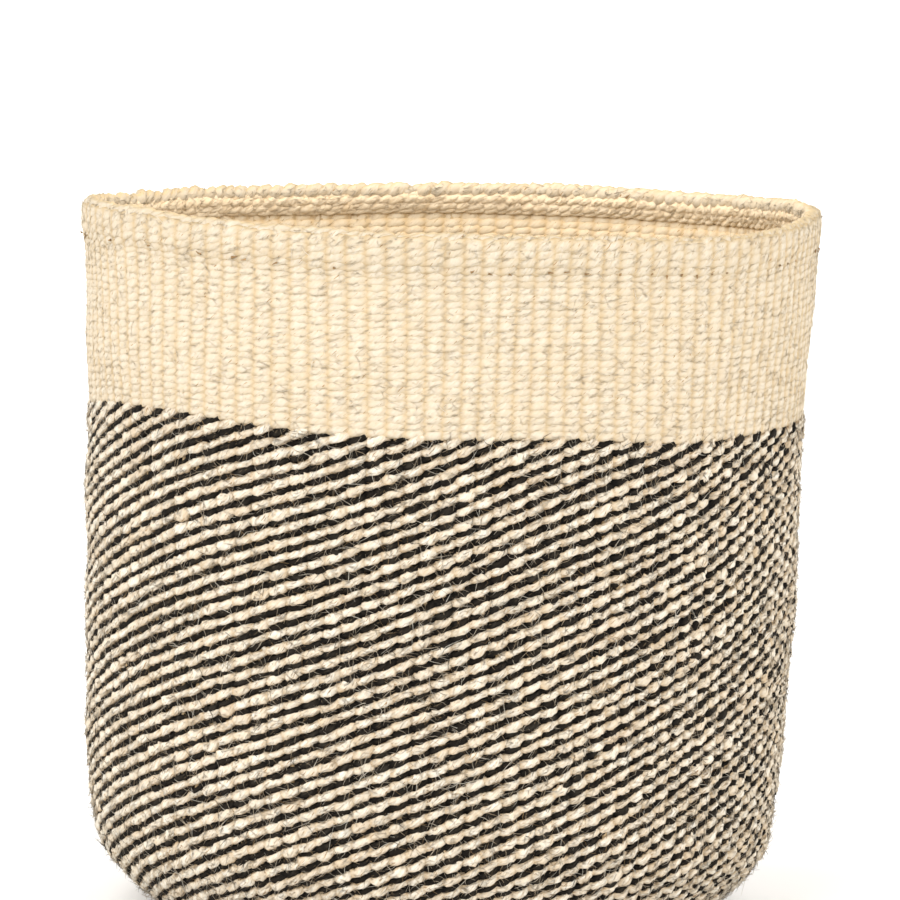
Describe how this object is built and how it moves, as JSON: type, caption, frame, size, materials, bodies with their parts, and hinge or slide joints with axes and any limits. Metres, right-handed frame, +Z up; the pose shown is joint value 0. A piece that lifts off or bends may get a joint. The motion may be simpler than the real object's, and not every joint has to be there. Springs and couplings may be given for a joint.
{
  "type": "sisal basket",
  "caption": "Open round twined basket with a flat base, rounded foot, slightly flared wall, two-colour lower part, plain upper part and a turned hem.",
  "frame": {"origin": "centre of the flat underside, on the surface that the basket stands on", "axes": "+Z up along the basket's axis, +X to the right and +Y away from the viewer of the picture"},
  "size_m": [0.2996, 0.2996, 0.2854],
  "materials": {
    "natural_sisal": "matt twisted natural plant fibre with loose hairs",
    "hem_sisal": "matt twisted natural plant fibre, slightly darker",
    "two_tone_sisal": "matt twined fibre, one black and one natural strand twisted round each warp",
    "black_sisal": "matt dyed plant fibre with pale loose hairs",
    "warp_sisal": "matt twisted natural plant fibre"
  },
  "bodies": {
    "root": {"base_weft_underside": "two_tone_sisal", "base_weft_inside": "two_tone_sisal", "foot_low_weft_outside": "two_tone_sisal", "foot_low_weft_inside": "two_tone_sisal", "foot_high_weft_outside": "two_tone_sisal", "foot_high_weft_inside": "two_tone_sisal", "lower_weft_outside": "two_tone_sisal", "lower_weft_inside": "two_tone_sisal", "upper_weft_outside": "natural_sisal", "upper_weft_inside": "natural_sisal", "founding_warps": "warp_sisal", "added_warp_01": "warp_sisal", "added_warp_02": "warp_sisal", "added_warp_03": "warp_sisal", "added_warp_04": "warp_sisal", "added_warp_05": "warp_sisal", "added_warp_06": "warp_sisal", "added_warp_07": "warp_sisal", "added_warp_08": "warp_sisal", "added_warp_09": "warp_sisal", "added_warp_10": "warp_sisal", "added_warp_11": "warp_sisal", "added_warp_12": "warp_sisal", "added_warp_13": "warp_sisal", "added_warp_14": "warp_sisal", "added_warp_15": "warp_sisal", "added_warp_16": "warp_sisal", "added_warp_17": "warp_sisal", "added_warp_18": "warp_sisal", "added_warp_19": "warp_sisal", "added_warp_20": "warp_sisal", "added_warp_21": "warp_sisal", "added_warp_22": "warp_sisal", "added_warp_23": "warp_sisal", "added_warp_24": "warp_sisal", "added_warp_25": "warp_sisal", "added_warp_26": "warp_sisal", "added_warp_27": "warp_sisal", "added_warp_28": "warp_sisal", "added_warp_29": "warp_sisal", "added_warp_30": "warp_sisal", "added_warp_31": "warp_sisal", "added_warp_32": "warp_sisal", "added_warp_33": "warp_sisal", "added_warp_34": "warp_sisal", "added_warp_35": "warp_sisal", "added_warp_36": "warp_sisal", "added_warp_37": "warp_sisal", "added_warp_38": "warp_sisal", "added_warp_39": "warp_sisal", "added_warp_40": "warp_sisal", "added_warp_41": "warp_sisal", "hem_band": "hem_sisal", "rim_cord": "hem_sisal", "hem_row_top": "hem_sisal", "hem_row_bottom": "hem_sisal"}
  },
  "joints": []
}
